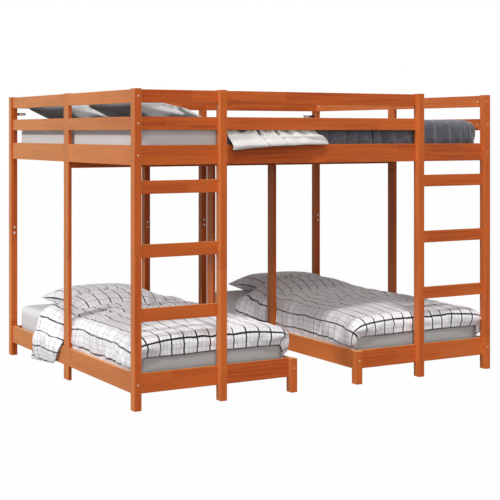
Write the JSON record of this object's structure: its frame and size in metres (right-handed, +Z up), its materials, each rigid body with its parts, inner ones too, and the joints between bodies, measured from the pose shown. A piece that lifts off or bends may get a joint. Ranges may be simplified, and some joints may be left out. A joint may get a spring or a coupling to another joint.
{
  "type": "triple bunk bed",
  "caption": "Pine bunk bed: a wide platform bed with guard rails on tall posts over separate lower beds, with ladders built into the front, made up with mattresses, pillows and duvets.",
  "frame": {"origin": "on the floor under the middle of the bed", "axes": "+X along the front from left to right, +Y from the front with the ladders to the back, +Z up"},
  "size_m": [2.055, 1.692, 1.443],
  "materials": {
    "pine": "orange stained pine under a satin clear coat",
    "bolt_steel": "dark zinc plated",
    "zinc": "bright zinc plated",
    "strap_black": "black nylon webbing",
    "plate_white": "moulded white plastic",
    "mattress_cover": "smooth grey jersey cover",
    "grey_cotton": "plain woven light grey cotton",
    "grid_cotton": "white cotton with a plain black and grey grid check",
    "dark_cotton": "washed anthracite cotton with a light grey reverse"
  },
  "bodies": {
    "root": {"front_left_post_lower": "pine", "front_left_post_upper": "pine", "left_ladder_post_lower": "pine", "left_ladder_post_upper": "pine", "right_ladder_post_lower": "pine", "right_ladder_post_upper": "pine", "front_right_post_lower": "pine", "front_right_post_upper": "pine", "back_left_post_lower": "pine", "back_left_post_upper": "pine", "back_inner_left_post_lower": "pine", "back_inner_left_post_upper": "pine", "back_inner_right_post_lower": "pine", "back_inner_right_post_upper": "pine", "back_right_post_lower": "pine", "back_right_post_upper": "pine", "short_front_legs": "pine", "middle_planks_lower": "pine", "middle_planks_upper": "pine", "left_end_top_guard": "pine", "left_end_mid_guard": "pine", "left_end_platform_rail": "pine", "left_end_bed_rail": "pine", "right_end_top_guard": "pine", "right_end_mid_guard": "pine", "right_end_platform_rail": "pine", "right_end_bed_rail": "pine", "left_bed_inner_rail": "pine", "right_bed_inner_rail": "pine", "front_top_guard": "pine", "front_mid_guard": "pine", "front_platform_rail": "pine", "back_top_guard": "pine", "back_mid_guard": "pine", "back_platform_rail": "pine", "left_bed_front_rail": "pine", "right_bed_front_rail": "pine", "lower_bed_back_rails": "pine", "left_ladder_rungs": "pine", "right_ladder_rungs": "pine", "platform_beam": "pine", "platform_cleats": "pine", "lower_bed_cleats": "pine", "platform_slats": "pine", "lower_bed_slats": "pine", "corner_bolts": "bolt_steel", "barrel_nuts": "zinc", "post_cam_locks": "zinc", "wall_straps": "strap_black", "wall_strap_plates": "plate_white", "platform_mattress": "mattress_cover", "left_bed_mattress": "mattress_cover", "right_bed_mattress": "mattress_cover", "platform_pillows": "grey_cotton", "left_bed_pillow": "grid_cotton", "right_bed_pillow": "grid_cotton", "left_bed_duvet": "grid_cotton", "right_bed_duvet": "grid_cotton", "platform_duvet": "dark_cotton"}
  },
  "joints": []
}
